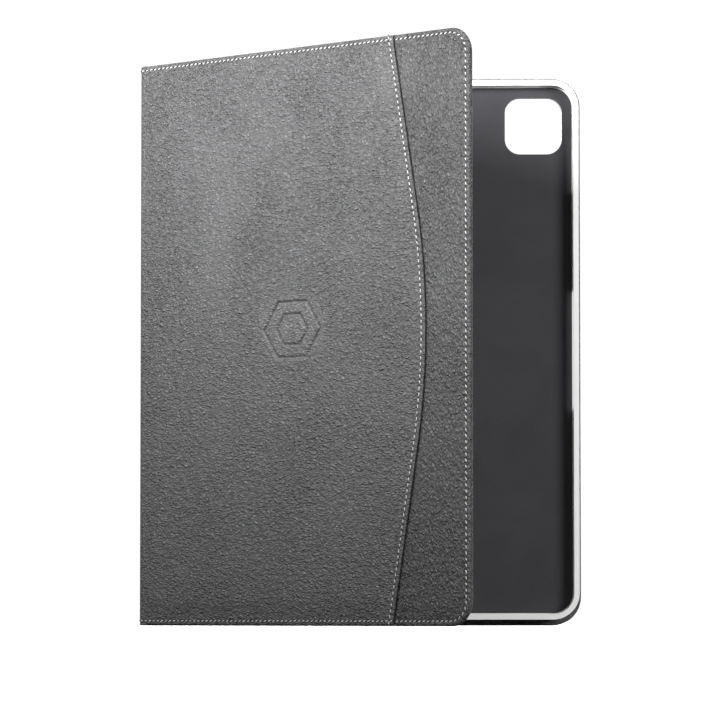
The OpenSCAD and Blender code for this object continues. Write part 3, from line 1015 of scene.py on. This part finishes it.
def stitchTree():
    tree = bpy.data.node_groups.new("stitchRow", "GeometryNodeTree")
    face = tree.interface
    face.new_socket("Geometry", in_out="INPUT", socket_type="NodeSocketGeometry")
    for name in ("Pitch", "Length", "Width", "Height", "Offset", "Lean", "Jitter"):
        face.new_socket(name, in_out="INPUT", socket_type="NodeSocketFloat")
    face.new_socket("Seed", in_out="INPUT", socket_type="NodeSocketInt")
    face.new_socket("Normal", in_out="INPUT", socket_type="NodeSocketVector")
    face.new_socket("Material", in_out="INPUT", socket_type="NodeSocketMaterial")
    face.new_socket("Geometry", in_out="OUTPUT", socket_type="NodeSocketGeometry")
    link = tree.links.new
    given = tree.nodes.new("NodeGroupInput").outputs
    spaced = addNode(tree, "GeometryNodeResampleCurve")
    if hasattr(spaced, "mode"):
        spaced.mode = "LENGTH"
    link(given["Geometry"], spaced.inputs["Curve"])
    link(given["Pitch"], spaced.inputs["Length"])
    tangent = tree.nodes.new("GeometryNodeInputTangent")
    axes = addNode(tree, "FunctionNodeAxesToRotation", primary_axis="X", secondary_axis="Z")
    link(tangent.outputs["Tangent"], axes.inputs["Primary Axis"])
    link(given["Normal"], axes.inputs["Secondary Axis"])
    spread = addNode(tree, "FunctionNodeRandomValue", data_type="FLOAT")
    negative = addNode(tree, "ShaderNodeMath", {1: -1.0}, operation="MULTIPLY")
    link(given["Jitter"], negative.inputs[0])
    link(negative.outputs[0], spread.inputs[2])
    link(given["Jitter"], spread.inputs[3])
    link(given["Seed"], spread.inputs["Seed"])
    lean = addNode(tree, "ShaderNodeMath", operation="ADD")
    link(given["Lean"], lean.inputs[0])
    link(spread.outputs[1], lean.inputs[1])
    turn = tree.nodes.new("ShaderNodeCombineXYZ")
    link(lean.outputs[0], turn.inputs["Z"])
    angle = tree.nodes.new("FunctionNodeEulerToRotation")
    link(turn.outputs[0], angle.inputs[0])
    rotation = addNode(tree, "FunctionNodeRotateRotation", rotation_space="LOCAL")
    link(axes.outputs[0], rotation.inputs[0])
    link(angle.outputs[0], rotation.inputs[1])
    bead = addNode(tree, "GeometryNodeMeshUVSphere", {"Segments": 8, "Rings": 5, "Radius": 0.5})
    size = tree.nodes.new("ShaderNodeCombineXYZ")
    link(given["Length"], size.inputs["X"])
    link(given["Width"], size.inputs["Y"])
    link(given["Height"], size.inputs["Z"])
    aside = tree.nodes.new("ShaderNodeCombineXYZ")
    link(given["Offset"], aside.inputs["X"])
    shaped = tree.nodes.new("GeometryNodeTransform")
    link(bead.outputs["Mesh"], shaped.inputs["Geometry"])
    link(size.outputs[0], shaped.inputs["Scale"])
    link(aside.outputs[0], shaped.inputs["Translation"])
    rounded = addNode(tree, "GeometryNodeSetShadeSmooth")
    link(shaped.outputs["Geometry"], rounded.inputs["Geometry"])
    placed = tree.nodes.new("GeometryNodeInstanceOnPoints")
    link(spaced.outputs["Curve"], placed.inputs["Points"])
    link(rounded.outputs["Geometry"], placed.inputs["Instance"])
    link(rotation.outputs[0], placed.inputs["Rotation"])
    real = tree.nodes.new("GeometryNodeRealizeInstances")
    link(placed.outputs["Instances"], real.inputs["Geometry"])
    painted = tree.nodes.new("GeometryNodeSetMaterial")
    link(real.outputs["Geometry"], painted.inputs["Geometry"])
    link(given["Material"], painted.inputs["Material"])
    result = tree.nodes.new("NodeGroupOutput")
    link(painted.outputs["Geometry"], result.inputs["Geometry"])
    return tree


rowTree = stitchTree()


def runRows(name, paths, normal, values, material):
    # paths are lists of points; each becomes a spline that the tree covers with beads
    curve = bpy.data.curves.new(name + "Path", "CURVE")
    curve.dimensions = "3D"
    for path in paths:
        spline = curve.splines.new("POLY")
        spline.points.add(len(path) - 1)
        for point, place in zip(spline.points, path):
            point.co = (*place, 1)
    guide = addObject(name + "Path", curve)
    modifier = guide.modifiers.new("rows", "NODES")
    modifier.node_group = rowTree
    sockets = {item.name: item.identifier for item in rowTree.interface.items_tree
               if item.in_out == "INPUT"}
    for key, value in values.items():
        modifier[sockets[key]] = value
    modifier[sockets["Seed"]] = stitch["seed"]
    modifier[sockets["Normal"]] = tuple(normal)
    modifier[sockets["Material"]] = material
    seen = guide.evaluated_get(bpy.context.evaluated_depsgraph_get())
    mesh = bpy.data.meshes.new_from_object(seen)
    mesh.name = name
    piece = addObject(name, mesh)
    bpy.data.objects.remove(guide)
    return piece


def addStitching(name, paths, normal, body, lean, replaced=(), scale=1.0):
    values = {
        "Pitch": stitch["pitch"] * scale,
        "Length": stitch["length"] * scale,
        "Width": stitch["thickness"] * scale,
        "Height": stitch["thickness"] * 0.8 * scale,
        "Offset": 0.0,
        "Lean": lean,
        "Jitter": stitch["jitter"],
    }
    raised = [[point + normal * stitch["proud"] for point in path] for path in paths]
    threads = runRows(name, raised, normal, values, thread)
    # each needle hole gets a flat dark bead: painted shade where the thread goes into the leather
    holeShadeValues = dict(values)
    holeShadeValues.update({
        "Length": stitch["hole"] * scale,
        "Width": stitch["hole"] * scale,
        "Height": 0.3 * stitch["hole"] * scale,
        "Offset": stitch["pitch"] * scale / 2,
        "Lean": 0.0,
    })
    holeShades = runRows(name + "HoleShades", paths, normal, holeShadeValues, paintedHoleShade)
    for piece in (threads, holeShades):
        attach(piece, body)
    if replaced:
        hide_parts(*replaced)
    return threads


def endRow(z, first, last, surface, steps=60):
    return [surface(mix(first, last, i / steps), z) for i in range(steps + 1)]


def mainSurface(u, z):
    return coverPoint(u, leatherLow.y - mainRelief(u, z), z)


def stripSurface(u, z):
    return coverPoint(u, stripLow.y - stripRelief(u, z), z)


def roundRow(left, width, height, inset, radius, surface):
    # one row along the bottom, round both free corners and back along the top
    inner = radius - inset
    places = [(left, inset)]
    corners = [(width - radius, radius, -90), (width - radius, height - radius, 0)]
    for x, z, first in corners:
        for i in range(13):
            angle = math.radians(first + 90 * i / 12)
            places.append((x + inner * math.cos(angle), z + inner * math.sin(angle)))
    places.append((left, height - inset))
    path = []
    for (x0, z0), (x1, z1) in zip(places, places[1:]):
        pieces = max(1, round(math.hypot(x1 - x0, z1 - z0) / (2 * mm)))
        for i in range(pieces):
            path.append(surface(mix(x0, x1, i / pieces), mix(z0, z1, i / pieces)))
    path.append(surface(*places[-1]))
    return path


def stitchCover():
    inset = panel["stitchIn"]
    first = stitch["coverStart"]
    last = seamU(inset) - stitch["besideSeam"]
    low = endRow(inset, first, last, mainSurface)
    high = endRow(coverH - inset, last, first, mainSurface)
    left = seamU(inset) + stitch["besideSeam"]
    free = roundRow(left, coverW, coverH, inset, panel["cornerRadius"], stripSurface)
    return addStitching("coverEdgeStitching", [low, free, high], -coverIn, "cover",
                        stitch["lean"], ["cover_edge_stitching"])


def stitchSeam():
    path = []
    for d in ticks(coverH - 2 * stitch["besideSeam"], 2 * mm):
        z = stitch["besideSeam"] + d
        path.append(mainSurface(seamU(z, seam["stitchIn"]), z))
    return addStitching("coverSeamStitching", [path], -coverIn, "cover",
                        stitch["seamLean"], ["cover_seam_stitching"])


def stitchLining():
    def surface(u, z):
        return coverPoint(u, liningHigh.y - 0.5 * panel["grooveDepth"], z)

    radius = panel["cornerRadius"]
    free = roundRow(stitch["liningStart"], coverW, coverH, panel["stitchIn"], radius, surface)
    return addStitching("liningStitching", [free], coverIn, "cover", stitch["lean"])


def stitchPocket():
    inset = pocket["border"] / 2
    low, high = pocketLow, pocketHigh
    face = high.y - 0.1 * mm
    mouth = high.z - stitch["pocketMouth"]
    corners = [
        (low.x + inset, mouth), (low.x + inset, low.z + inset),
        (high.x - inset, low.z + inset), (high.x - inset, mouth),
    ]
    paths = []
    for (u0, z0), (u1, z1) in zip(corners, corners[1:]):
        paths.append([coverPoint(mix(u0, u1, i / 60), face, mix(z0, z1, i / 60)) for i in range(61)])
    return addStitching("pocketStitching", paths, coverIn, "cover", stitch["seamLean"],
                        ["pocket_stitching"], 0.8)


def stitchSpine():
    inset = panel["stitchIn"]
    first = stitch["spineStart"]
    last = spineW - stitch["spineEnd"]
    paths = []
    for z in (inset, coverH - inset):
        paths.append([frontFold + Vector((spineLow.x, mix(first, last, i / 12), z)) for i in range(13)])
    return addStitching("spineStitching", paths, Vector((-1, 0, 0)), "spine", stitch["lean"],
                        ["spine_stitching"])


def stitchBack():
    inset = panel["stitchIn"]

    def surface(x, z):
        high = z + (backTop(x) - back["topHeight"]) * ease((z - back["topHeight"] + 20 * mm) / (18 * mm))
        return rearFold + Vector((x, backHigh.y + backRelief(x, z), high))

    row = roundRow(stitch["backStart"], backHigh.x, back["topHeight"], inset, back["cornerRadius"], surface)
    return addStitching("backStitching", [row], Vector((0, 1, 0)), "tray", stitch["lean"],
                        ["back_stitching"])


stitchCover()
stitchSeam()
stitchLining()
stitchPocket()
stitchSpine()
stitchBack()
print("stitching made")


def softenedCopy(node, name, width, segments, skin, body):
    # a copy of a moulded node with its loose triangles joined and its sharp edges rounded
    mesh = nodes[node].data.copy()
    mesh.name = name
    mesh.materials.clear()
    mesh.materials.append(skin)
    work = bmesh.new()
    work.from_mesh(mesh)
    bmesh.ops.remove_doubles(work, verts=work.verts, dist=0.002 * mm)
    bmesh.ops.dissolve_limit(work, angle_limit=math.radians(0.5), verts=work.verts, edges=work.edges)
    bmesh.ops.recalc_face_normals(work, faces=work.faces)
    work.to_mesh(mesh)
    work.free()
    for layer in list(mesh.attributes):
        if layer.name.startswith("custom_normal"):
            mesh.attributes.remove(layer)
    for polygon in mesh.polygons:
        polygon.use_smooth = True
        polygon.material_index = 0
    piece = addObject(name, mesh)
    bevel = piece.modifiers.new("rounding", "BEVEL")
    bevel.width = width
    bevel.segments = segments
    bevel.limit_method = "ANGLE"
    bevel.angle_limit = math.radians(35)
    bevel.harden_normals = True
    applyModifiers(piece)
    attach(piece, body)
    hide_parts(node)
    return piece


bumper = softenedCopy("bumper_frame", "bumperFrame", 0.35 * mm, 4, whiteGloss, "tray")
ring = softenedCopy("camera_ring", "cameraRing", 0.25 * mm, 3, blackGloss, "tray")
print("tray pieces", len(bumper.data.polygons), "faces in the bumper")


finishes = {
    "cover_foam": foamGrey,
    "cover_board": fibreboard,
    "spine_board": fibreboard,
    "back_board": fibreboard,
    "closing_magnets": steel,
    "wake_magnet": steel,
    "bond_pads": adhesive,
    "shell_plate": whiteMatte,
    "shell_liner": bayCloth,
}
for node, finish in finishes.items():
    mesh = nodes[node].data
    mesh.materials.clear()
    mesh.materials.append(finish)


studio = {
    "floorSize": 12.0,
    "floorTone": 0.93,
    "floorBounce": 0.12,  # the floor's tone as the case sees it, which keeps the case's foot dark
    "skyPower": 3.5,
    "skySpreadDegrees": 16,
    "worldLight": 0.05,
    "lights": {
        # name: place, target, width, height, power, spread in degrees
        "keyLight": ((-0.29, -0.245, 0.37), (-0.05, 0.011, 0.305), 0.7, 0.14, 4.3, 108),
        "sideLight": ((0.95, -0.75, 0.42), (0.1, 0.08, 0.22), 0.5, 0.5, 2.4, 60),
        "backLight": ((0.35, 1.1, 0.75), (0.0, 0.1, 0.16), 0.8, 0.8, 22.0, 180),
    },
}


def addLight(name, kind, place, target, power):
    data = bpy.data.lights.new(name, kind)
    data.energy = power
    light = addObject(name, data)
    light.location = place
    way = Vector(target) - Vector(place)
    light.rotation_euler = way.to_track_quat("-Z", "Y").to_euler()
    light.visible_camera = False
    return data


def floorMaterial():
    material, tree, shader = newMaterial("paleFloor")
    shader.inputs["Roughness"].default_value = 0.9
    path = tree.nodes.new("ShaderNodeLightPath")
    bounce = [studio["floorBounce"]] * 3
    tone = ramp(tree, path.outputs["Is Camera Ray"], 0.0, 1.0, bounce, [studio["floorTone"]] * 3)
    tree.links.new(tone, shader.inputs["Base Color"])
    shader.inputs["Specular IOR Level"].default_value = 0.0
    return material


def addStudio():
    half = studio["floorSize"] / 2
    mesh = bpy.data.meshes.new("floor")
    corners = [(-half, -half, 0), (half, -half, 0), (half, half, 0), (-half, half, 0)]
    mesh.from_pydata(corners, [], [(0, 1, 2, 3)])
    floor = addObject("floor", mesh)
    mesh.materials.append(floorMaterial())
    for name, (place, target, width, height, power, spread) in studio["lights"].items():
        data = addLight(name, "AREA", place, target, power)
        data.shape = "RECTANGLE"
        data.size = width
        data.size_y = height
        data.spread = math.radians(spread)
    sky = addLight("skyLight", "SUN", (0, 0, 3), (0, 0, 0), studio["skyPower"])
    sky.angle = math.radians(studio["skySpreadDegrees"])
    world = bpy.data.worlds.new("studio")
    world.use_nodes = True
    bpy.context.scene.world = world
    tree = world.node_tree
    shown = tree.nodes["Background"]
    shown.inputs["Color"].default_value = (1, 1, 1, 1)
    path = tree.nodes.new("ShaderNodeLightPath")
    level = addNode(tree, "ShaderNodeMapRange", {"To Min": studio["worldLight"], "To Max": 1.05})
    tree.links.new(path.outputs["Is Camera Ray"], level.inputs["Value"])
    tree.links.new(level.outputs["Result"], shown.inputs["Strength"])
    bpy.context.scene.view_settings.view_transform = "Standard"


addStudio()
print("studio ready")
